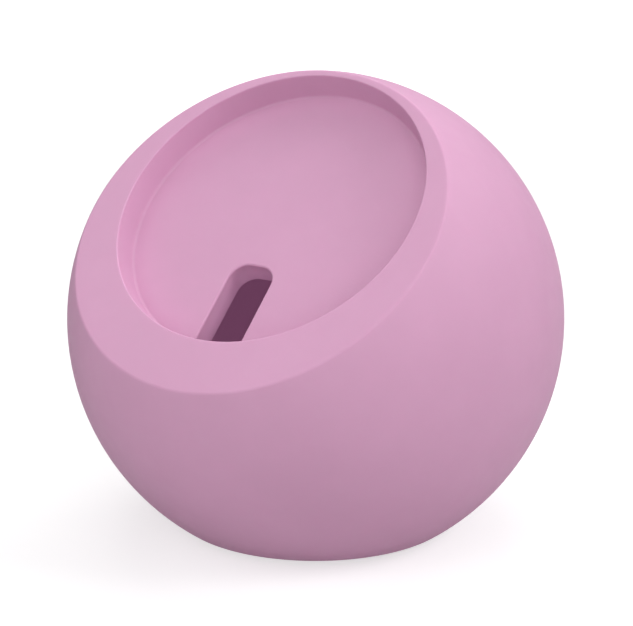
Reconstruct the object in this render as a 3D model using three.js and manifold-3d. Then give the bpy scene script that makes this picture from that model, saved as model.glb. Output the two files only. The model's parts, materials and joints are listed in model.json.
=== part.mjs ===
// Ball-shaped desk stand for a round magnetic charging puck.
// A hollow soft silicone ball has a slanting flat face with a round recess for the puck, a slot for
// the puck's lead and a port for it at the back. It is lifted off a weighted base plug that closes it.
// Millimetres, +Z up, front towards -Y. The origin is on the table, under the centre of the ball.
import * as THREE from "three";
import { mergeVertices } from "three/addons/utils/BufferGeometryUtils.js";
import Module from "manifold-3d";

const wasm = await Module();
wasm.setup();

// ---------------------------------------------------------------- driving dimensions

const BALL_RADIUS = 44;
const WALL = 4.5; // silicone thickness of the ball, the recess floor and the bottom lip
const BASE_DROP = 36; // from the ball's centre down to its flat underside
const FACE_RISE = 27.9; // from the ball's centre out to the slanting face
const FACE_TILT = THREE.MathUtils.degToRad(40.8); // face against the table
const RIM_ROUND = 0.7; // rounding where the face meets the ball

const RECESS_RADIUS = 28.2; // at its mouth, for a 55.9 mm puck with a little room
const RECESS_DEPTH = 5.1;
const RECESS_DRAFT = 0.6; // how much smaller in radius it is at its floor, to grip the puck
const RECESS_SHIFT = 4.6; // up the slope from the middle of the face
const RECESS_FILLET = 0.6; // between the recess wall and its floor

const SLOT_WIDTH = 8.6;
const SLOT_CORNER = 3.2;
const SLOT_TOP = 9.4; // from the recess's centre down the slope to the slot's upper end
const SLOT_UNDERCUT = 6; // how far the slot runs on below the rim, beyond the recess wall
const UNDERCUT_HEIGHT = 3.4; // of that pocket, above the recess floor

const PORT_WIDTH = 14; // lets the lead's plug out at the back
const PORT_HEIGHT = 8.6;
const PORT_CENTRE_Z = 11;

const PAD_RADIUS = 20.5;
const PAD_THICKNESS = 0.8;
const FILM_RADIUS = 20;
const FILM_THICKNESS = 0.2;

const FLANGE_RADIUS = 22;
const FLANGE_THICKNESS = 2;
const PLUG_RADIUS = 19.7;
const PLUG_WALL = 1.8;
const PLUG_HEIGHT = 6;
const PLUG_CLEARANCE = 0.3; // between the plug and the ball

const WEIGHT_RADIUS = 17.6;
const WEIGHT_THICKNESS = 14;
const WEIGHT_CHAMFER = 0.6;
const HEAD_POCKET_RADIUS = 3.5;
const HEAD_POCKET_DEPTH = 3;

const SCREW_COUNT = 3;
const SCREW_CIRCLE_RADIUS = 11;
const SCREW_LENGTH = 12;
const SHANK_RADIUS = 1.45;
const HEAD_RADIUS = 2.8;
const HEAD_HEIGHT = 2;
const HEAD_DOME = [[1, 0.5], [0.8, 0.9], [0.45, 1]]; // its corners, as shares of radius and height
const DRIVE_SPAN = 3.2; // of the cross recess in the head
const DRIVE_WIDTH = 0.7;
const DRIVE_DEPTH = 1.2;
const BOSS_RADIUS = 3;
const BOSS_HEIGHT = 3;
const HOLE_CLEARANCE = 0.3; // round the shanks and the bosses, in the weight
const PILOT_CLEARANCE = 0.15; // round the shanks, in the bosses

// ---------------------------------------------------------------- derived places

const UNDERSIDE_Z = PAD_THICKNESS + FILM_THICKNESS;
const SEAT_Z = UNDERSIDE_Z + FLANGE_THICKNESS; // the ball and the weight rest on the flange here
const BALL_CENTRE_Z = UNDERSIDE_Z + BASE_DROP;
const WEIGHT_TOP_Z = SEAT_Z + WEIGHT_THICKNESS;
const SCREW_SEAT_Z = WEIGHT_TOP_Z - HEAD_POCKET_DEPTH;
const TIP_RADIUS = SHANK_RADIUS / 2;
const FLOOR_RISE = FACE_RISE - RECESS_DEPTH; // from the ball's centre out to the recess floor
const CEILING_RISE = FLOOR_RISE - WALL; // and to the roof of the hollow
const FAR = 2 * BALL_RADIUS; // larger than anything that it cuts

const ROUND = 64; // segments round the ball's outline and the recess
const ROUND_INSIDE = 40;
const ROUND_SMALL = 24;
const ARC_STEPS = 6;
const WELD_DISTANCE = 1e-4; // vertices nearer than this become one

// ---------------------------------------------------------------- solids from three.js geometry

function solidOf(geometry, matrix = new THREE.Matrix4()) {
  const shape = geometry.clone().applyMatrix4(matrix);
  shape.deleteAttribute("normal");
  shape.deleteAttribute("uv");
  const merged = mergeVertices(shape, WELD_DISTANCE);
  return new wasm.Manifold(
    new wasm.Mesh({
      numProp: 3,
      vertProperties: new Float32Array(merged.attributes.position.array),
      triVerts: new Uint32Array(merged.index.array),
    }),
  );
}

function geometryOf(solid) {
  const mesh = solid.getMesh();
  const geometry = new THREE.BufferGeometry();
  geometry.setAttribute("position", new THREE.BufferAttribute(mesh.vertProperties, 3));
  geometry.setIndex(new THREE.BufferAttribute(mesh.triVerts, 1));
  geometry.computeVertexNormals();
  return geometry;
}

// A solid of revolution about +Z from points [radius, height], listed from the bottom up.
function turned(points, segments) {
  const lathe = new THREE.LatheGeometry(points.map(([r, z]) => new THREE.Vector2(r, z)), segments);
  return solidOf(lathe, new THREE.Matrix4().makeRotationX(Math.PI / 2));
}

function disc(radius, bottom, top, segments = ROUND) {
  return turned([[0, bottom], [radius, bottom], [radius, top], [0, top]], segments);
}

// A straight-sided prism along +Z over a rectangle with rounded corners.
function roundedPrism(left, right, front, back, corner, bottom, top) {
  const outline = new THREE.Shape();
  outline.moveTo(left + corner, front);
  outline.lineTo(right - corner, front);
  outline.absarc(right - corner, front + corner, corner, -Math.PI / 2, 0);
  outline.lineTo(right, back - corner);
  outline.absarc(right - corner, back - corner, corner, 0, Math.PI / 2);
  outline.lineTo(left + corner, back);
  outline.absarc(left + corner, back - corner, corner, Math.PI / 2, Math.PI);
  outline.lineTo(left, front + corner);
  outline.absarc(left + corner, front + corner, corner, Math.PI, 1.5 * Math.PI);
  const prism = new THREE.ExtrudeGeometry(outline, {
    depth: top - bottom,
    bevelEnabled: false,
    curveSegments: ARC_STEPS,
  });
  return solidOf(prism, new THREE.Matrix4().makeTranslation(0, 0, bottom));
}

// ---------------------------------------------------------------- frames

// The face's own frame: origin at the ball's centre, +Z out of the face, +Y up its slope.
const faceFrame = new THREE.Matrix4()
  .makeTranslation(0, 0, BALL_CENTRE_Z)
  .multiply(new THREE.Matrix4().makeRotationX(FACE_TILT));

function onFace(solid) {
  return solid.transform(faceFrame.elements);
}

function at(x, y, z, solid) {
  return solid.translate([x, y, z]);
}

function screwPlaces() {
  const step = (2 * Math.PI) / SCREW_COUNT;
  return Array.from({ length: SCREW_COUNT }, (_, i) => {
    const angle = Math.PI / 2 + i * step;
    return [SCREW_CIRCLE_RADIUS * Math.cos(angle), SCREW_CIRCLE_RADIUS * Math.sin(angle)];
  });
}

// ---------------------------------------------------------------- the silicone ball

// The ball with its flat face, turned about the face's normal so that the rim is a true circle.
function ballWithFace() {
  const edgeAngle = Math.acos((FACE_RISE - RIM_ROUND) / (BALL_RADIUS - RIM_ROUND));
  const roundRadius = (BALL_RADIUS - RIM_ROUND) * Math.sin(edgeAngle);
  const roundHeight = FACE_RISE - RIM_ROUND;
  const profile = [];
  const rows = ROUND / 2;
  for (let i = 0; i <= rows; i += 1) {
    const angle = Math.PI + (i / rows) * (edgeAngle - Math.PI);
    profile.push([i ? BALL_RADIUS * Math.sin(angle) : 0, BALL_RADIUS * Math.cos(angle)]);
  }
  for (let i = 1; i <= ARC_STEPS / 2; i += 1) {
    const angle = edgeAngle * (1 - i / (ARC_STEPS / 2));
    profile.push([roundRadius + RIM_ROUND * Math.sin(angle), roundHeight + RIM_ROUND * Math.cos(angle)]);
  }
  profile.push([0, FACE_RISE]);
  return onFace(turned(profile, ROUND));
}

// The hollow follows the ball and stops under the recess floor and above the bottom lip.
function hollow() {
  const inside = new THREE.SphereGeometry(BALL_RADIUS - WALL, ROUND_INSIDE, ROUND_INSIDE / 2);
  const aboveCeiling = onFace(disc(FAR, CEILING_RISE, FAR, ROUND_SMALL));
  const belowLip = disc(FAR, -FAR, UNDERSIDE_Z + WALL, ROUND_SMALL);
  return at(0, 0, BALL_CENTRE_Z, solidOf(inside)).subtract(aboveCeiling).subtract(belowLip);
}

function puckRecess() {
  const filletCentre = RECESS_RADIUS - RECESS_DRAFT - RECESS_FILLET;
  const profile = [[0, FLOOR_RISE]];
  for (let i = 0; i <= ARC_STEPS / 2; i += 1) {
    const angle = (i / (ARC_STEPS / 2)) * (Math.PI / 2);
    const height = FLOOR_RISE + RECESS_FILLET * (1 - Math.cos(angle));
    profile.push([filletCentre + RECESS_FILLET * Math.sin(angle), height]);
  }
  profile.push([RECESS_RADIUS, FACE_RISE], [RECESS_RADIUS, FAR], [0, FAR]);
  return onFace(at(0, RECESS_SHIFT, 0, turned(profile, ROUND)));
}

function leadSlot() {
  const top = RECESS_SHIFT - SLOT_TOP;
  const bottom = RECESS_SHIFT - RECESS_RADIUS - SLOT_UNDERCUT;
  const half = SLOT_WIDTH / 2;
  const roof = FLOOR_RISE + UNDERCUT_HEIGHT;
  return onFace(roundedPrism(-half, half, bottom, top, SLOT_CORNER, 0, roof));
}

function rearPort() {
  const halfWidth = PORT_WIDTH / 2;
  const halfHeight = PORT_HEIGHT / 2;
  const prism = roundedPrism(-halfWidth, halfWidth, -halfHeight, halfHeight, SLOT_CORNER, 0, FAR);
  const towardsBack = new THREE.Matrix4()
    .makeTranslation(0, PLUG_RADIUS, PORT_CENTRE_Z)
    .multiply(new THREE.Matrix4().makeRotationX(-Math.PI / 2));
  return prism.transform(towardsBack.elements);
}

function siliconeBall() {
  const table = disc(FAR, -FAR, UNDERSIDE_Z, ROUND_SMALL);
  const flangeSeat = disc(FLANGE_RADIUS + PLUG_CLEARANCE, 0, SEAT_Z);
  const plugBore = disc(PLUG_RADIUS + PLUG_CLEARANCE, 0, UNDERSIDE_Z + 2 * WALL);
  return ballWithFace()
    .subtract(table)
    .subtract(hollow())
    .subtract(flangeSeat)
    .subtract(plugBore)
    .subtract(puckRecess())
    .subtract(leadSlot())
    .subtract(rearPort());
}

// ---------------------------------------------------------------- the weighted base plug

function basePlate() {
  const ringTop = SEAT_Z + PLUG_HEIGHT;
  const ring = disc(PLUG_RADIUS, UNDERSIDE_Z, ringTop)
    .subtract(disc(PLUG_RADIUS - PLUG_WALL, SEAT_Z, FAR));
  let plate = ring.add(disc(FLANGE_RADIUS, UNDERSIDE_Z, SEAT_Z));
  for (const [x, y] of screwPlaces()) {
    plate = plate.add(at(x, y, 0, disc(BOSS_RADIUS, UNDERSIDE_Z, SEAT_Z + BOSS_HEIGHT, ROUND_SMALL)));
  }
  const pilotBottom = SCREW_SEAT_Z - SCREW_LENGTH - PILOT_CLEARANCE;
  for (const [x, y] of screwPlaces()) {
    const pilot = disc(SHANK_RADIUS + PILOT_CLEARANCE, pilotBottom, FAR, ROUND_SMALL);
    plate = plate.subtract(at(x, y, 0, pilot));
  }
  return plate;
}

function counterweight() {
  const rim = WEIGHT_RADIUS - WEIGHT_CHAMFER;
  let weight = turned(
    [
      [0, SEAT_Z],
      [rim, SEAT_Z],
      [WEIGHT_RADIUS, SEAT_Z + WEIGHT_CHAMFER],
      [WEIGHT_RADIUS, WEIGHT_TOP_Z - WEIGHT_CHAMFER],
      [rim, WEIGHT_TOP_Z],
      [0, WEIGHT_TOP_Z],
    ],
    ROUND,
  );
  const bossPocketTop = SEAT_Z + BOSS_HEIGHT + HOLE_CLEARANCE;
  for (const [x, y] of screwPlaces()) {
    const bossPocket = disc(BOSS_RADIUS + HOLE_CLEARANCE, 0, bossPocketTop, ROUND_SMALL);
    const hole = disc(SHANK_RADIUS + HOLE_CLEARANCE, 0, FAR, ROUND_SMALL);
    const headPocket = disc(HEAD_POCKET_RADIUS, SCREW_SEAT_Z, FAR, ROUND_SMALL);
    weight = weight.subtract(at(x, y, 0, bossPocket.add(hole).add(headPocket)));
  }
  return weight;
}

// The cross recess that a driver turns the screw by.
function driveCross() {
  const bar = new THREE.BoxGeometry(DRIVE_SPAN, DRIVE_WIDTH, 2 * DRIVE_DEPTH);
  const onTop = new THREE.Matrix4().makeTranslation(0, 0, HEAD_HEIGHT);
  const crossed = onTop.clone().multiply(new THREE.Matrix4().makeRotationZ(Math.PI / 2));
  return solidOf(bar, onTop).add(solidOf(bar, crossed));
}

// A pan-head screw pointing down, with the underside of its head at height 0.
function screw() {
  const blank = turned(
    [
      [0, -SCREW_LENGTH],
      [TIP_RADIUS, -SCREW_LENGTH],
      [SHANK_RADIUS, TIP_RADIUS - SCREW_LENGTH],
      [SHANK_RADIUS, 0],
      [HEAD_RADIUS, 0],
      ...HEAD_DOME.map(([r, h]) => [r * HEAD_RADIUS, h * HEAD_HEIGHT]),
      [0, HEAD_HEIGHT],
    ],
    ROUND_SMALL,
  );
  return blank.subtract(driveCross());
}

// ---------------------------------------------------------------- materials

function material(color, roughness, metalness) {
  return new THREE.MeshStandardMaterial({ color, roughness, metalness });
}

const silicone = material(0xe2aacc, 0.6, 0);
const plastic = material(0xd79ebd, 0.45, 0);
const steel = material(0xb4b6ba, 0.35, 1);
const zinc = material(0xc9ccd2, 0.3, 1);
const padRubber = material(0x3a3638, 0.85, 0);
const film = material(0xe8e4dc, 0.5, 0);

// ---------------------------------------------------------------- the assembly

function piece(name, solid, look) {
  const mesh = new THREE.Mesh(geometryOf(solid), look);
  mesh.name = name;
  return mesh;
}

const base = new THREE.Group();
base.add(piece("foot_pad", disc(PAD_RADIUS, 0, PAD_THICKNESS), padRubber));
base.add(piece("pad_adhesive", disc(FILM_RADIUS, PAD_THICKNESS, UNDERSIDE_Z), film));
base.add(piece("base_plate", basePlate(), plastic));
base.add(piece("counterweight", counterweight(), steel));
screwPlaces().forEach(([x, y], i) => {
  const mesh = piece(`weight_screw_${i + 1}`, screw(), zinc);
  mesh.position.set(x, y, SCREW_SEAT_Z);
  base.add(mesh);
});

const stand = new THREE.Group();
stand.add(base);
stand.add(piece("silicone_ball", siliconeBall(), silicone));

export default stand;
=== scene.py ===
"""Looks of the ball-shaped silicone stand for a round charging puck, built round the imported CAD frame."""

import json
import math

import bmesh
import bpy
from mathutils import Matrix, Vector

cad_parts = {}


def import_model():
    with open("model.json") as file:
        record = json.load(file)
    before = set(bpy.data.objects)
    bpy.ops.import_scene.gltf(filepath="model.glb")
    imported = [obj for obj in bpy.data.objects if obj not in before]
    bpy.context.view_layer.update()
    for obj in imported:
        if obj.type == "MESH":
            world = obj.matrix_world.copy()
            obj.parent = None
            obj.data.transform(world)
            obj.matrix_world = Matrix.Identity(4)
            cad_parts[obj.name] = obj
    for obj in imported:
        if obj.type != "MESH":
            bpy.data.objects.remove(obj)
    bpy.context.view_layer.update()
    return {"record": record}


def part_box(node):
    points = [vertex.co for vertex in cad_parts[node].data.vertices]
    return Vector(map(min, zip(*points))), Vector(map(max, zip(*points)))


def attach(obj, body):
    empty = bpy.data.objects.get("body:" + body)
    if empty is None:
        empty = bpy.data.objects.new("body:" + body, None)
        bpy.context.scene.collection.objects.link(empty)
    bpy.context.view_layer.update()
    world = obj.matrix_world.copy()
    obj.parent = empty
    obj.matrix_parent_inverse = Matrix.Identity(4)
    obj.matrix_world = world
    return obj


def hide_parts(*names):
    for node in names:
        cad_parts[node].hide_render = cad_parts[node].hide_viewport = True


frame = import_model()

MM = 0.001
TURN = 2 * math.pi

# ---------------------------------------------------------------- sizes, in metres

ball_low, ball_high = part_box("silicone_ball")
puck_seat = next(m for m in frame["record"]["mounts"] if m["name"] == "puck_seat")

BALL_RADIUS = (ball_high.x - ball_low.x) / 2
BASE_DROP = 36 * MM  # from the ball's centre down to its flat underside
WALL = 4.5 * MM
RECESS_RADIUS = 28.2 * MM
RECESS_DEPTH = 5.1 * MM
RECESS_DRAFT = 0.6 * MM  # how much smaller in radius it is at its floor
RECESS_SHIFT = 4.6 * MM  # up the slope from the middle of the face
SLOT_WIDTH = 8.6 * MM
SLOT_CORNER = 3.2 * MM
SLOT_TOP = -4.8 * MM  # up the slope from the middle of the face
SLOT_BOTTOM = -29.6 * MM
UNDERCUT_HEIGHT = 3.4 * MM
PORT_WIDTH = 14 * MM
PORT_HEIGHT = 8.6 * MM
PORT_CENTRE_Z = 11 * MM

RIM_ROUND = 0.7 * MM
MOUTH_ROUND = 0.25 * MM
FLOOR_FILLET = 0.6 * MM
BASE_ROUND = 0.5 * MM
SLOT_ROUND = 0.35 * MM
PORT_ROUND = 0.8 * MM
HOLLOW_ROUND = 2 * MM
BORE_ROUND = 0.4 * MM
UNDERCUT_ROUND = SLOT_CORNER / 3
CLEARANCE = 0.3 * MM  # between the ball, the plug and the weight

BALL_CENTRE = Vector((0, 0, ball_low.z + BASE_DROP))
FACE_OUT = Vector(puck_seat["axis"]).normalized()
FACE_UP = Vector((0, FACE_OUT.z, -FACE_OUT.y))
ACROSS = Vector((1, 0, 0))
UP = Vector((0, 0, 1))
FLOOR_RISE = (Vector(puck_seat["pos_m"]) - BALL_CENTRE).dot(FACE_OUT)
FACE_RISE = FLOOR_RISE + RECESS_DEPTH

ROUND = 192  # points round the ball
ROUND_SMALL = 64  # points round a boss, a pocket or a screw head
ARC = 8  # steps in a rounded edge
ARC_SMALL = 4
OUTSIDE_ROWS = 84  # rings of the ball's skin between its two rounded edges
INSIDE_ROWS = 48
FLARE_ANGLE = 84  # degrees, short of the right angle at which a flared cutter would lie in the flat
PORT_ARC_SHARE = 0.93  # of the turn that would bring the port's edge to lie along the skin
SHARP_ANGLE = 30  # degrees between faces, above which their edge stays sharp
LARGE_FACE_WEIGHT = 80  # how far large faces lead the normals; 50 is even

# ---------------------------------------------------------------- mesh tools


def new_object(name, mesh):
    piece = bpy.data.objects.new(name, mesh)
    bpy.context.scene.collection.objects.link(piece)
    return piece


def loft(name, rings):
    """A closed solid through rings of the same number of points, with a flat cap on each end."""
    count = len(rings[0])
    points = [point for ring in rings for point in ring]
    faces = []
    for row in range(len(rings) - 1):
        for i in range(count):
            j = (i + 1) % count
            low, high = row * count, (row + 1) * count
            faces.append((low + i, low + j, high + j, high + i))
    last = (len(rings) - 1) * count
    faces.append(tuple(reversed(range(count))))
    faces.append(tuple(last + i for i in range(count)))
    mesh = bpy.data.meshes.new(name)
    mesh.from_pydata([tuple(p) for p in points], [], faces)
    build = bmesh.new()
    build.from_mesh(mesh)
    bmesh.ops.recalc_face_normals(build, faces=build.faces)
    build.to_mesh(mesh)
    build.free()
    return new_object(name, mesh)


def circle(centre, first, second, radius, count=ROUND):
    return [
        centre + radius * (math.cos(TURN * i / count) * first + math.sin(TURN * i / count) * second)
        for i in range(count)
    ]


def turned(name, profile, count=ROUND):
    """A solid turned about the Z axis through points (radius, height), with a flat cap on each end."""
    return loft(name, [circle(Vector((0, 0, z)), ACROSS, Vector((0, 1, 0)), r, count) for r, z in profile])


def arc(centre_r, centre_z, radius, start, end, steps=ARC):
    """Points (radius, height) on an arc in a profile. Angles in degrees, 0 outwards and 90 up."""
    angles = [math.radians(start + (end - start) * i / steps) for i in range(steps + 1)]
    return [(centre_r + radius * math.cos(a), centre_z + radius * math.sin(a)) for a in angles]


def rounded_outline(left, right, front, back, corner, steps=ARC):
    """Points (x, y, outward x, outward y) anticlockwise round a rectangle with rounded corners."""
    corners = [
        (right - corner, front + corner, -90),
        (right - corner, back - corner, 0),
        (left + corner, back - corner, 90),
        (left + corner, front + corner, 180),
    ]
    points = []
    for x, y, start in corners:
        for i in range(steps + 1):
            a = math.radians(start + 90 * i / steps)
            points.append((x + corner * math.cos(a), y + corner * math.sin(a), math.cos(a), math.sin(a)))
    return points


def apply_modifiers(piece):
    depsgraph = bpy.context.evaluated_depsgraph_get()
    done = bpy.data.meshes.new_from_object(piece.evaluated_get(depsgraph))
    old = piece.data
    piece.modifiers.clear()
    piece.data = done
    done.name = old.name
    bpy.data.meshes.remove(old)


def cut(piece, cutter, operation="DIFFERENCE"):
    """Cuts the cutter from the piece, or joins it on, and uses the cutter up."""
    change = piece.modifiers.new("cut", "BOOLEAN")
    change.operation = operation
    change.solver = "EXACT"
    change.object = cutter
    apply_modifiers(piece)
    bpy.data.meshes.remove(cutter.data)


# ---------------------------------------------------------------- the silicone ball


def cap_circle(radius, centre_way, opening):
    """The circle on a sphere round the ball's centre, at the angle opening from the direction centre_way."""
    centre = BALL_CENTRE + radius * math.cos(opening) * centre_way
    return circle(centre, ACROSS, centre_way.cross(ACROSS), radius * math.sin(opening))


def face_circle(up_slope, rise, radius):
    centre = BALL_CENTRE + up_slope * FACE_UP + rise * FACE_OUT
    return circle(centre, ACROSS, FACE_OUT.cross(ACROSS), radius)


def on_face(name, outline, levels):
    """A solid that stands on the face, through the outline grown by each level's offset at its rise."""
    rings = [
        [
            BALL_CENTRE + (x + grow * out_x) * ACROSS + (y + grow * out_y) * FACE_UP + rise * FACE_OUT
            for x, y, out_x, out_y in outline
        ]
        for grow, rise in levels
    ]
    return loft(name, rings)


def sphere_between_flats(radius, rise, top_round, drop, bottom_round, rows):
    """Rings of a sphere cut by the face's plane and by a level plane, with both edges rounded."""
    top_angle = math.acos((rise - top_round) / (radius - top_round))
    low_angle = math.pi - math.acos((drop - bottom_round) / (radius - bottom_round))
    tilt = math.acos(FACE_OUT.z)
    rings = []
    corner = (radius - top_round) * math.sin(top_angle)
    for i in range(ARC + 1):
        a = top_angle * i / ARC
        level = rise - top_round + top_round * math.cos(a)
        rings.append(face_circle(0, level, corner + top_round * math.sin(a)))
    for i in range(1, rows):
        share = i / rows
        lean = tilt * (1 - share)
        way = Vector((0, -math.sin(lean), math.cos(lean)))
        rings.append(cap_circle(radius, way, top_angle + share * (low_angle - top_angle)))
    corner = (radius - bottom_round) * math.sin(low_angle)
    level = BALL_CENTRE.z - drop + bottom_round
    for i in range(ARC + 1):
        a = low_angle + (math.pi - low_angle) * i / ARC
        centre = Vector((0, 0, level + bottom_round * math.cos(a)))
        rings.append(circle(centre, ACROSS, UP.cross(ACROSS), corner + bottom_round * math.sin(a)))
    return rings


def recess_rings():
    """Rings from the edge of the recess floor, up the wall and over its rounded mouth."""
    rings = []
    for i in range(ARC + 1):
        a = math.pi / 2 * i / ARC
        radius = RECESS_RADIUS - RECESS_DRAFT - FLOOR_FILLET + FLOOR_FILLET * math.sin(a)
        rings.append(face_circle(RECESS_SHIFT, FLOOR_RISE + FLOOR_FILLET * (1 - math.cos(a)), radius))
    for i in range(ARC + 1):
        a = math.pi / 2 * i / ARC
        radius = RECESS_RADIUS + MOUTH_ROUND * (1 - math.cos(a))
        rings.append(face_circle(RECESS_SHIFT, FACE_RISE - MOUTH_ROUND * (1 - math.sin(a)), radius))
    return rings


def flare(width, level, toward):
    """(offset, level) steps that round the edge where a cutter leaves a flat at level, toward +1 or -1."""
    last = math.radians(FLARE_ANGLE)
    steps = [(0, level - toward * width)]
    for i in range(1, ARC + 1):
        a = last * i / ARC
        steps.append((width * (1 - math.cos(a)), level - toward * width * (1 - math.sin(a))))
    steps.append((steps[-1][0] + width * math.sin(last), steps[-1][1] + toward * width * math.cos(last)))
    return steps


def slot_cutter():
    """The slot through the recess floor, with soft edges on both sides of the floor."""
    half = SLOT_WIDTH / 2
    outline = rounded_outline(-half, half, SLOT_BOTTOM, SLOT_TOP, SLOT_CORNER)
    levels = list(reversed(flare(SLOT_ROUND, FLOOR_RISE - WALL, -1))) + flare(SLOT_ROUND, FLOOR_RISE, 1)
    levels.append((levels[-1][0], FLOOR_RISE + SLOT_ROUND))
    levels.insert(0, (levels[0][0], FLOOR_RISE - 2 * WALL))
    return on_face("slot_cutter", outline, levels)


def undercut_cutter():
    """The pocket below the rim that the slot runs on into, with an arched roof."""
    half = SLOT_WIDTH / 2
    outline = rounded_outline(-half, half, SLOT_BOTTOM, SLOT_TOP - SLOT_WIDTH, SLOT_CORNER)
    roof = FLOOR_RISE + UNDERCUT_HEIGHT
    levels = [(0, FLOOR_RISE - WALL / 2), (0, roof - UNDERCUT_ROUND)]
    for i in range(1, ARC + 1):
        a = math.pi / 2 * i / ARC
        levels.append((UNDERCUT_ROUND * (math.cos(a) - 1), roof - UNDERCUT_ROUND * (1 - math.sin(a))))
    return on_face("undercut_cutter", outline, levels)


def port_cutter():
    """The port at the back for the lead.

    At each point of its outline the edge's arc is placed by the ball's slope there, so that it
    leaves the port's wall smoothly and comes out nearly along the ball's skin.
    """
    half_width, half_height = PORT_WIDTH / 2, PORT_HEIGHT / 2
    low, high = PORT_CENTRE_Z - half_height, PORT_CENTRE_Z + half_height
    outline = rounded_outline(-half_width, half_width, low, high, SLOT_CORNER)
    rings = [[] for _ in range(ARC + 4)]  # one for each point of the path below
    for x, z, out_x, out_z in outline:
        drop = z - BALL_CENTRE.z
        skin = math.sqrt(BALL_RADIUS**2 - x**2 - drop**2)
        slope = -(x * out_x + drop * out_z) / skin
        steep = math.sqrt(1 + slope**2)
        centre_y = skin + PORT_ROUND * (slope - steep)
        last = PORT_ARC_SHARE * math.atan2(1, slope)
        path = [(0, skin / 2), (0, centre_y)]
        for i in range(1, ARC + 1):
            a = last * i / ARC
            path.append((PORT_ROUND * (1 - math.cos(a)), centre_y + PORT_ROUND * math.sin(a)))
        grow, y = path[-1]
        path.append((grow + PORT_ROUND * math.sin(last), y + PORT_ROUND * math.cos(last)))
        path.append((path[-1][0], 2 * BALL_RADIUS))
        for ring, (grow, y) in zip(rings, path):
            ring.append(Vector((x + grow * out_x, y, z + grow * out_z)))
    return loft("port_cutter", rings)


def bore_cutter():
    """The stepped opening in the underside that the base plug closes."""
    lip_z = ball_low.z + WALL
    seat_z = weight_low.z
    flange = plate_high.x + CLEARANCE
    bore = PLUG_RADIUS + CLEARANCE
    soft = BORE_ROUND
    profile = [
        (flange + 2 * soft, plate_low.z - soft),
        (flange + soft, plate_low.z),
        (flange, plate_low.z + soft),
        (flange, seat_z),
        (bore + soft, seat_z),
        (bore, seat_z + soft),
        (bore, lip_z - soft),
        (bore + 2 * soft, lip_z + soft),
        (bore + 2 * soft, lip_z + 2 * soft),
    ]
    return turned("bore_cutter", profile)


def hollow_cutter():
    radius, rise, drop = BALL_RADIUS - WALL, FLOOR_RISE - WALL, BASE_DROP - WALL
    rings = sphere_between_flats(radius, rise, HOLLOW_ROUND, drop, HOLLOW_ROUND, INSIDE_ROWS)
    return loft("hollow_cutter", rings)


def silicone_ball():
    """The ball's outside with its recess, hollowed and opened below, through the face and at the back."""
    outside = sphere_between_flats(BALL_RADIUS, FACE_RISE, RIM_ROUND, BASE_DROP, BASE_ROUND, OUTSIDE_ROWS)
    piece = loft("ball_skin", recess_rings() + outside)
    for cutter in (hollow_cutter(), bore_cutter(), slot_cutter(), undercut_cutter(), port_cutter()):
        cut(piece, cutter)
    return piece


# ---------------------------------------------------------------- the weighted base plug

SCREWS = [f"weight_screw_{i + 1}" for i in range(3)]
plate_low, plate_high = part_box("base_plate")
weight_low, weight_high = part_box("counterweight")
EDGE = 0.25 * MM  # rounding of a moulded or machined edge
CAP = 0.1 * MM  # radius of the tiny flat that closes a turned piece on its axis
PLUG_RADIUS = 19.7 * MM
PLUG_WALL = 1.8 * MM
BOSS_RADIUS = 3 * MM
BOSS_HEIGHT = 3 * MM
PILOT_CLEARANCE = 0.15 * MM
SHANK_RADIUS = 1.3 * MM  # at the root of the thread
THREAD_RADIUS = 1.45 * MM
THREAD_PITCH = 1.1 * MM
THREAD_CREST = 0.32  # half the width of a thread's ridge, as a share of the pitch
THREAD_ROUND = 40  # points round the shank
THREAD_ROWS = 10  # rings in each turn of the thread
TIP_SHARE = 0.35  # of the full radius, at the end of the shank
TIP_SPREAD = 1.6 * THREAD_PITCH  # length over which that share would grow by 1
SHANK_OVERLAP = 0.4 * MM  # how far the shank runs on into the head
PILOT_ROUND = 48  # points round a pilot hole
WEIGHT_CHAMFER = 0.6 * MM
CENTRE_MARK_RADIUS = 1.2 * MM
CENTRE_MARK_DEPTH = 0.7 * MM
HEAD_POCKET_RADIUS = 3.5 * MM
HEAD_POCKET_DEPTH = 3 * MM
HEAD_HEIGHT = 2 * MM
HEAD_DOME = 1.1 * MM  # radius of the round shoulder on a screw's head
DRIVE_SPAN = 3.4 * MM  # of the cross recess in the head
DRIVE_WIDTH = 0.72 * MM
DRIVE_CORNER = 0.3 * MM
DRIVE_DEPTH = 1.2 * MM
DRIVE_TAPER = 0.12 * MM
DRIVE_LEAD_IN = 0.3 * MM  # depth below which it narrows, and above which it widens
DRIVE_FLARE = 0.1 * MM
FOOT_ROUND = 0.35 * MM
FOOT_GROOVE_INSET = 3 * MM  # from the pad's edge to the middle of its groove
FOOT_GROOVE_DEPTH = 0.2 * MM
FOOT_TOP_CHAMFER = 0.1 * MM


def screw_axis(node):
    low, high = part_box(node)
    return (low.x + high.x) / 2, (low.y + high.y) / 2


def moved(piece, x, y):
    piece.data.transform(Matrix.Translation((x, y, 0)))
    return piece


def boss(x, y, seat):
    top = seat + BOSS_HEIGHT
    profile = [(CAP, seat - 2 * EDGE), (BOSS_RADIUS + EDGE, seat - EDGE), (BOSS_RADIUS, seat + EDGE)]
    profile += arc(BOSS_RADIUS - EDGE, top - EDGE, EDGE, 0, 90)
    profile += [(CAP, top)]
    return moved(turned("boss", profile, ROUND_SMALL), x, y)


def pilot_hole(x, y, low, top):
    radius = THREAD_RADIUS + PILOT_CLEARANCE
    profile = [(CAP, low), (radius, low), (radius, top - EDGE), (radius + 2 * EDGE, top + EDGE)]
    return moved(turned("pilot_hole", profile, PILOT_ROUND), x, y)


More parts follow.
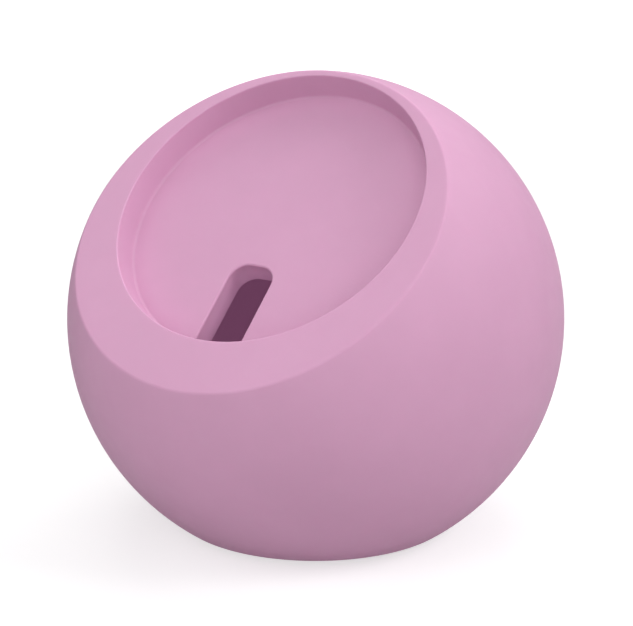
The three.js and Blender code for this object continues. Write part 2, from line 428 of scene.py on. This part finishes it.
def base_plug():
    """The flange with the ring that the silicone grips, and three bosses with pilot holes."""
    flange, ring_top, seat = plate_high.x, plate_high.z, weight_low.z
    inner = PLUG_RADIUS - PLUG_WALL
    profile = [(CAP, plate_low.z)]
    profile += arc(flange - EDGE, plate_low.z + EDGE, EDGE, -90, 0)
    profile += arc(flange - EDGE, seat - EDGE, EDGE, 0, 90)
    profile += arc(PLUG_RADIUS + EDGE, seat + EDGE, EDGE, -90, -180)
    profile += arc(PLUG_RADIUS - 2 * EDGE, ring_top - 2 * EDGE, 2 * EDGE, 0, 90)
    profile += arc(inner + 2 * EDGE, ring_top - 2 * EDGE, 2 * EDGE, 90, 180)
    profile += [(inner, seat), (CAP, seat)]
    piece = turned("base_plug", profile)
    for node in SCREWS:
        x, y = screw_axis(node)
        cut(piece, boss(x, y, seat), "UNION")
        cut(piece, pilot_hole(x, y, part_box(node)[0].z - PILOT_CLEARANCE, seat + BOSS_HEIGHT))
    return piece


def stepped_hole(x, y, low, high):
    """A hole with room for the boss below, the shank and the screw's head above."""
    hole = THREAD_RADIUS + CLEARANCE
    wide, wide_top = BOSS_RADIUS + CLEARANCE, low + BOSS_HEIGHT + CLEARANCE
    head, head_low = HEAD_POCKET_RADIUS, high - HEAD_POCKET_DEPTH
    profile = [
        (CAP, low - EDGE),
        (wide + 2 * EDGE, low - EDGE),
        (wide, low + EDGE),
        (wide, wide_top),
        (hole, wide_top),
        (hole, head_low),
        (head, head_low),
        (head, high - EDGE),
        (head + 2 * EDGE, high + EDGE),
    ]
    return moved(turned("stepped_hole", profile, ROUND_SMALL), x, y)


def steel_weight():
    """The turned weight, chamfered, with a centre mark and stepped holes for the screws."""
    radius, low, high = weight_high.x, weight_low.z, weight_high.z
    profile = [
        (CAP, low),
        (radius - WEIGHT_CHAMFER, low),
        (radius, low + WEIGHT_CHAMFER),
        (radius, high - WEIGHT_CHAMFER),
        (radius - WEIGHT_CHAMFER, high),
        (CENTRE_MARK_RADIUS, high),
        (CAP, high - CENTRE_MARK_DEPTH),
    ]
    piece = turned("steel_weight", profile)
    for node in SCREWS:
        cut(piece, stepped_hole(*screw_axis(node), low, high))
    return piece


def thread(low, high):
    """A shank with a narrowing tip, threaded up to one pitch below its top, as one closed surface."""
    rows = int((high - low) / THREAD_PITCH * THREAD_ROWS)
    rings = []
    for row in range(rows + 1):
        z = low + (high - low) * row / rows
        taper = min(1, TIP_SHARE + (z - low) / TIP_SPREAD)
        ring = []
        for i in range(THREAD_ROUND):
            phase = (z / THREAD_PITCH - i / THREAD_ROUND) % 1
            crest = max(0, 1 - abs(phase - 0.5) / THREAD_CREST)
            radius = (SHANK_RADIUS + (THREAD_RADIUS - SHANK_RADIUS) * crest) * taper
            if z >= high - THREAD_PITCH:
                radius = SHANK_RADIUS
            a = TURN * i / THREAD_ROUND
            ring.append(Vector((radius * math.cos(a), radius * math.sin(a), z)))
        rings.append(ring)
    return loft("shank", rings)


def drive_bar(top, angle):
    """One bar of the cross recess, which narrows to its bottom and widens at its mouth."""
    half, thin = DRIVE_SPAN / 2, DRIVE_WIDTH / 2
    outline = rounded_outline(-half, half, -thin, thin, DRIVE_CORNER, ARC_SMALL)
    levels = [(-DRIVE_TAPER, top - DRIVE_DEPTH), (0, top - DRIVE_LEAD_IN), (DRIVE_FLARE, top + EDGE)]
    rings = [
        [Vector((x + grow * out_x, y + grow * out_y, z)) for x, y, out_x, out_y in outline]
        for grow, z in levels
    ]
    bar = loft("drive", rings)
    bar.data.transform(Matrix.Rotation(angle, 4, "Z"))
    return bar


def screw(node):
    """A pan-head screw, head up, with a cross recess."""
    low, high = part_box(node)
    radius = (high.x - low.x) / 2
    seat = high.z - HEAD_HEIGHT
    shoulder = high.z - HEAD_DOME
    profile = [(CAP, seat), (radius - EDGE, seat)]
    profile += arc(radius - EDGE, seat + EDGE, EDGE, -90, 0)
    profile += [(radius, shoulder)]
    profile += arc(radius - HEAD_DOME, shoulder, HEAD_DOME, 0, 90)
    profile += [(CAP, high.z)]
    piece = turned(node.replace("weight", "zinc"), profile, ROUND_SMALL)
    cut(piece, thread(low.z, seat + SHANK_OVERLAP), "UNION")
    for angle in (0, math.pi / 2):
        cut(piece, drive_bar(high.z, angle))
    return moved(piece, *screw_axis(node))


def adhesive_film():
    low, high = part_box("pad_adhesive")
    half = (high.z - low.z) / 2
    profile = [(CAP, low.z)]
    profile += arc(high.x - half, low.z + half, half, -90, 90)
    profile += [(CAP, high.z)]
    return turned("film_disc", profile)


def foot():
    """The non-slip pad, with a soft lower edge and a shallow ring moulded into its underside."""
    low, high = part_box("foot_pad")
    groove, depth = high.x - FOOT_GROOVE_INSET, FOOT_GROOVE_DEPTH
    profile = [
        (CAP, low.z),
        (groove - 2 * depth, low.z),
        (groove - depth, low.z + depth),
        (groove + depth, low.z + depth),
        (groove + 2 * depth, low.z),
    ]
    profile += arc(high.x - FOOT_ROUND, low.z + FOOT_ROUND, FOOT_ROUND, -90, 0)
    profile += [
        (high.x, high.z - FOOT_TOP_CHAMFER),
        (high.x - FOOT_TOP_CHAMFER, high.z),
        (CAP, high.z),
    ]
    return turned("foot_disc", profile)


def shade(piece):
    """Smooth shading that keeps sharp edges, with flats that stay flat."""
    piece.data.shade_smooth()
    piece.data.set_sharp_from_angle(angle=math.radians(SHARP_ANGLE))
    weigh = piece.modifiers.new("weigh", "WEIGHTED_NORMAL")
    weigh.keep_sharp = True
    weigh.weight = LARGE_FACE_WEIGHT
    apply_modifiers(piece)


# ---------------------------------------------------------------- materials


WAVE_PITCH_AT_SCALE_ONE = TURN / 20  # a wave texture runs through 20 radians a metre at scale 1


class Look:
    """A procedural material, built node by node in the piece's own coordinates."""

    def __init__(self, name):
        self.material = bpy.data.materials.new(name)
        self.material.use_nodes = True
        self.nodes = self.material.node_tree.nodes
        self.links = self.material.node_tree.links
        self.shader = self.nodes["Principled BSDF"]
        self.place = self.nodes.new("ShaderNodeTexCoord").outputs["Object"]

    def set(self, **values):
        for key, value in values.items():
            self.shader.inputs[key.replace("_", " ")].default_value = value

    def noise(self, size, detail=3.0, roughness=0.5):
        """Noise from 0 to 1 whose lumps are about size metres across."""
        texture = self.nodes.new("ShaderNodeTexNoise")
        texture.inputs["Scale"].default_value = 1 / size
        texture.inputs["Detail"].default_value = detail
        texture.inputs["Roughness"].default_value = roughness
        self.links.new(self.place, texture.inputs["Vector"])
        return texture.outputs["Fac"]

    def wave(self, kind, pitch):
        """Even rings round the Z axis, or bands along it, pitch metres apart."""
        texture = self.nodes.new("ShaderNodeTexWave")
        texture.wave_type = kind
        texture.rings_direction = "Z"
        texture.bands_direction = "Z"
        texture.inputs["Scale"].default_value = WAVE_PITCH_AT_SCALE_ONE / pitch
        self.links.new(self.place, texture.inputs["Vector"])
        return texture.outputs["Fac"]

    def cells(self, size):
        """The distance to the middle of the nearest cell, in cells that are about size metres across."""
        texture = self.nodes.new("ShaderNodeTexVoronoi")
        texture.inputs["Scale"].default_value = 1 / size
        self.links.new(self.place, texture.inputs["Vector"])
        return texture.outputs["Distance"]

    def scale(self, source, low, high, at_low=0.0, at_high=1.0):
        """Low where the source is at_low, high where it is at_high, and held beyond both."""
        node = self.nodes.new("ShaderNodeMapRange")
        node.inputs["From Min"].default_value = at_low
        node.inputs["From Max"].default_value = at_high
        node.inputs["To Min"].default_value = low
        node.inputs["To Max"].default_value = high
        self.links.new(source, node.inputs["Value"])
        return node.outputs["Result"]

    def blend(self, factor, first, second):
        """The first color where the factor is 0, and the second where it is 1."""
        node = self.nodes.new("ShaderNodeMix")
        node.data_type = "RGBA"
        node.inputs["A"].default_value = (*first, 1)
        node.inputs["B"].default_value = (*second, 1)
        self.links.new(factor, node.inputs["Factor"])
        return node.outputs["Result"]

    def measure(self, operation, vector):
        """The distance to a point, or how far along a direction, in the piece's coordinates."""
        node = self.nodes.new("ShaderNodeVectorMath")
        node.operation = operation
        node.inputs[1].default_value = vector
        self.links.new(self.place, node.inputs[0])
        return node.outputs["Value"]

    def combine(self, first, second, operation="ADD"):
        node = self.nodes.new("ShaderNodeMath")
        node.operation = operation
        self.links.new(first, node.inputs[0])
        self.links.new(second, node.inputs[1])
        return node.outputs["Value"]

    def bump(self, height, depth):
        node = self.nodes.new("ShaderNodeBump")
        node.inputs["Distance"].default_value = depth
        self.links.new(height, node.inputs["Height"])
        self.links.new(node.outputs["Normal"], self.shader.inputs["Normal"])

    def drive(self, socket, source):
        self.links.new(source, self.shader.inputs[socket])


def tint(color, factor):
    return tuple(min(1.0, channel * factor) for channel in color)


SILICONE = (0.64, 0.345, 0.515)
PLASTIC = (0.60, 0.32, 0.48)
# colour of the painted glow in the slot and the hollow
PAINTED_GLOW_COLOR = (1.0, 0.52, 0.9)
PAINTED_HOLLOW_GLOW = 0.053  # painted light: strength of a glow in the slot and the hollow, standing in for light that soaks through the wall into the hollow


def painted_hollow_glow(look):
    """From 0 on the skin to 1 in the hollow: where the painted glow shows, in place of light that soaks
    through the silicone.
    """
    floor_level = BALL_CENTRE.dot(FACE_OUT) + FLOOR_RISE
    hollow_radius = BALL_RADIUS - WALL
    rise = look.measure("DOT_PRODUCT", FACE_OUT)
    below_floor = look.scale(rise, 1, 0, floor_level - 0.5 * WALL, floor_level - SLOT_ROUND)
    radius = look.measure("DISTANCE", BALL_CENTRE)
    inside = look.scale(radius, 1, 0, hollow_radius + 0.1 * WALL, hollow_radius + 0.6 * WALL)
    return look.combine(below_floor, inside, "MULTIPLY")


def silicone_look():
    """Matte dyed silicone: an even colour, a satin mould finish, a little depth, and painted light glowing
    below the recess floor and in the hollow.
    """
    look = Look("silicone")
    mottle = look.scale(look.noise(16 * MM, 4, 0.6), 0, 1, 0.35, 0.65)
    look.drive("Base Color", look.blend(mottle, tint(SILICONE, 0.985), tint(SILICONE, 1.015)))
    look.drive("Roughness", look.scale(look.noise(3 * MM, 3), 0.56, 0.66, 0.3, 0.7))
    grain = look.combine(look.noise(0.16 * MM, 2), look.scale(look.noise(0.6 * MM, 2), 0, 0.6))
    look.bump(grain, 0.012 * MM)
    look.set(Subsurface_Weight=0.2, Subsurface_Scale=2 * MM, Specular_IOR_Level=0.25)
    look.shader.inputs["Subsurface Radius"].default_value = (1.0, 0.6, 0.8)
    # painted light: the silicone glows below the recess floor and inside the hollow, lifting the shade there
    look.drive("Emission Strength", look.scale(painted_hollow_glow(look), 0, PAINTED_HOLLOW_GLOW))
    look.shader.inputs["Emission Color"].default_value = (*PAINTED_GLOW_COLOR, 1)
    return look.material


def plastic_look():
    """Moulded ABS in the ball's colour, with the fine spark texture of its tool."""
    look = Look("moulded_plastic")
    look.drive("Base Color", look.blend(look.noise(9 * MM), tint(PLASTIC, 0.97), tint(PLASTIC, 1.03)))
    look.drive("Roughness", look.scale(look.noise(2 * MM, 3), 0.38, 0.52, 0.3, 0.7))
    look.bump(look.noise(0.22 * MM, 3, 0.7), 0.02 * MM)
    return look.material


def steel_look():
    """Bare turned steel: fine rings from the tool, with faint stains and handling marks."""
    look = Look("turned_steel")
    on_flats = look.wave("RINGS", 0.4 * MM)
    on_side = look.wave("BANDS", 0.4 * MM)
    stain = look.scale(look.noise(7 * MM, 5, 0.65), 0, 1, 0.4, 0.7)
    look.drive("Base Color", look.blend(stain, (0.60, 0.60, 0.61), (0.50, 0.49, 0.48)))
    look.drive("Roughness", look.scale(look.noise(2.5 * MM, 4), 0.26, 0.42, 0.3, 0.7))
    look.bump(look.combine(on_flats, on_side), 0.008 * MM)
    look.set(Metallic=1.0)
    return look.material


def zinc_look():
    """Bright zinc plate with a faint blue cast and dull patches."""
    look = Look("zinc_plate")
    patches = look.scale(look.noise(0.9 * MM, 4), 0, 1, 0.35, 0.65)
    look.drive("Base Color", look.blend(patches, (0.66, 0.69, 0.74), (0.78, 0.78, 0.77)))
    look.drive("Roughness", look.scale(look.noise(0.5 * MM, 3), 0.2, 0.4, 0.3, 0.7))
    look.bump(look.noise(0.12 * MM, 2), 0.004 * MM)
    look.set(Metallic=1.0)
    return look.material


def film_look():
    """Milky double-sided film with a few trapped bubbles."""
    look = Look("film")
    spots = look.scale(look.cells(2.2 * MM), 1, 0, 0.04, 0.12)
    look.drive("Base Color", look.blend(spots, (0.78, 0.76, 0.70), (0.86, 0.85, 0.81)))
    look.drive("Roughness", look.scale(look.noise(3 * MM, 2), 0.4, 0.55))
    look.bump(spots, 0.01 * MM)
    return look.material


def rubber_look():
    """Dark non-slip rubber, with a fine cloth-like grain and a little dust."""
    look = Look("pad_rubber")
    dust = look.scale(look.noise(6 * MM, 6, 0.7), 0, 1, 0.5, 0.75)
    look.drive("Base Color", look.blend(dust, (0.030, 0.028, 0.030), (0.050, 0.047, 0.048)))
    look.drive("Roughness", look.scale(look.noise(1.5 * MM, 3), 0.72, 0.9))
    look.bump(look.cells(0.55 * MM), 0.05 * MM)
    return look.material


# ---------------------------------------------------------------- putting the pieces in place


def finish_piece(piece, material, body, slot, *nodes):
    shade(piece)
    piece.data.materials.clear()
    piece.data.materials.append(material)
    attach(piece, body)
    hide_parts(*nodes)


finish_piece(silicone_ball(), silicone_look(), "ball", "pink_silicone", "silicone_ball")
finish_piece(base_plug(), plastic_look(), "base", "pink_plastic", "base_plate")
finish_piece(steel_weight(), steel_look(), "base", "weight_steel", "counterweight")
finish_piece(adhesive_film(), film_look(), "base", "adhesive_film", "pad_adhesive")
finish_piece(foot(), rubber_look(), "base", "pad_rubber", "foot_pad")
zinc = zinc_look()
for node in SCREWS:
    finish_piece(screw(node), zinc, "base", "screw_zinc", node)

# ---------------------------------------------------------------- stage, light and camera

CAMERA_AZIMUTH = 32.77  # degrees round from the front, towards +X
CAMERA_ELEVATION = 16.63
CAMERA_DISTANCE = 10.19 * BALL_RADIUS
CAMERA_LENS = 143.4  # millimetres
CAMERA_SENSOR = 36
CAMERA_REACH = 20
AIM_ABOVE_CENTRE = 0.023 * BALL_RADIUS
AIM_ACROSS = 0.0031 * BALL_RADIUS
FLOOR_GAP = 0.02 * MM  # between the foot pad and the floor
FLOOR_HALF = 3  # half of its width
FLOOR_NEAR_GLOW = 0.14  # fills the shadow under the ball
FLOOR_SEEN_GLOW = 0.48  # added to what the camera sees of the floor
WORLD_LIGHT = 0.02
WORLD_SEEN = 0.9
LIGHT_DISTANCE = 0.9
LIGHTS = [
    # name, azimuth, elevation, size in metres, power in watts
    ("key_right", 108, 35, 0.4, 3.8),
    ("back_left", 215, 55, 0.7, 4.0),
    ("back", 165, 45, 0.7, 1.8),
    ("front_low", 32, 12, 0.7, 3.0),
    ("front_fill", -20, 35, 0.7, 2.1),
    ("front_high", 0, 60, 0.7, 1.6),
    ("right_fill", 75, 50, 0.7, 0.85),
    ("left_fill", -70, 30, 0.7, 0.55),
    ("top", 32, 75, 0.7, 0.55),
]


def direction(azimuth, elevation):
    """From the ball outwards, in degrees round from the front and up from the floor."""
    a, e = math.radians(azimuth), math.radians(elevation)
    return Vector((math.sin(a) * math.cos(e), -math.cos(a) * math.cos(e), math.sin(e)))


def camera():
    back = direction(CAMERA_AZIMUTH, CAMERA_ELEVATION)
    right = UP.cross(back).normalized()
    above = back.cross(right)
    data = bpy.data.cameras.new("camera")
    data.lens = CAMERA_LENS
    data.sensor_width = CAMERA_SENSOR
    data.clip_end = CAMERA_REACH
    eye = bpy.data.objects.new("camera", data)
    bpy.context.scene.collection.objects.link(eye)
    target = BALL_CENTRE + AIM_ACROSS * right + AIM_ABOVE_CENTRE * above
    turn = Matrix((right, above, back)).transposed().to_4x4()
    eye.matrix_world = Matrix.Translation(target + CAMERA_DISTANCE * back) @ turn
    bpy.context.scene.camera = eye


def area_light(name, azimuth, elevation, size, power):
    """A soft square light aimed at the ball, placed round it as the camera is."""
    back = direction(azimuth, elevation)
    data = bpy.data.lights.new(name, "AREA")
    data.size = size
    data.energy = power
    light = bpy.data.objects.new(name, data)
    bpy.context.scene.collection.objects.link(light)
    light.visible_camera = False
    light.location = BALL_CENTRE + LIGHT_DISTANCE * back
    light.rotation_euler = back.to_track_quat("Z", "Y").to_euler()


def floor():
    """A pale tabletop, seen brighter than the light that it throws back, as a lit studio sweep is."""
    mesh = bpy.data.meshes.new("floor")
    corners = [(-1, -1), (1, -1), (1, 1), (-1, 1)]
    points = [(x * FLOOR_HALF, y * FLOOR_HALF, -FLOOR_GAP) for x, y in corners]
    mesh.from_pydata(points, [], [(0, 1, 2, 3)])
    piece = new_object("floor", mesh)
    look = Look("floor")
    seen = look.nodes.new("ShaderNodeLightPath").outputs["Is Camera Ray"]
    distance = look.measure("DISTANCE", (0, 0, 0))
    glow = look.scale(seen, 0, FLOOR_SEEN_GLOW)
    near = look.scale(distance, FLOOR_NEAR_GLOW, 0, BALL_RADIUS / 2, 3 * BALL_RADIUS)
    far = look.scale(distance, 0, 1, 6 * BALL_RADIUS, 20 * BALL_RADIUS)
    glow = look.combine(look.combine(glow, near), look.combine(seen, far, "MULTIPLY"))
    look.drive("Emission Strength", glow)
    look.drive("Base Color", look.blend(look.noise(0.4, 2), (0.49,) * 3, (0.51,) * 3))
    look.set(Roughness=0.9, Specular_IOR_Level=0.1)
    look.shader.inputs["Emission Color"].default_value = (1, 1, 1, 1)
    mesh.materials.append(look.material)


def world():
    """A pale backdrop all round that throws hardly any light."""
    studio = bpy.data.worlds.new("studio")
    studio.use_nodes = True
    nodes, links = studio.node_tree.nodes, studio.node_tree.links
    seen = nodes.new("ShaderNodeLightPath").outputs["Is Camera Ray"]
    strength = nodes.new("ShaderNodeMapRange")
    strength.inputs["To Min"].default_value = WORLD_LIGHT
    strength.inputs["To Max"].default_value = WORLD_SEEN
    links.new(seen, strength.inputs["Value"])
    background = nodes["Background"]
    background.inputs["Color"].default_value = (1, 1, 1, 1)
    links.new(strength.outputs["Result"], background.inputs["Strength"])
    bpy.context.scene.world = studio


camera()
floor()
world()
for light in LIGHTS:
    area_light(*light)
bpy.context.scene.view_settings.view_transform = "Standard"
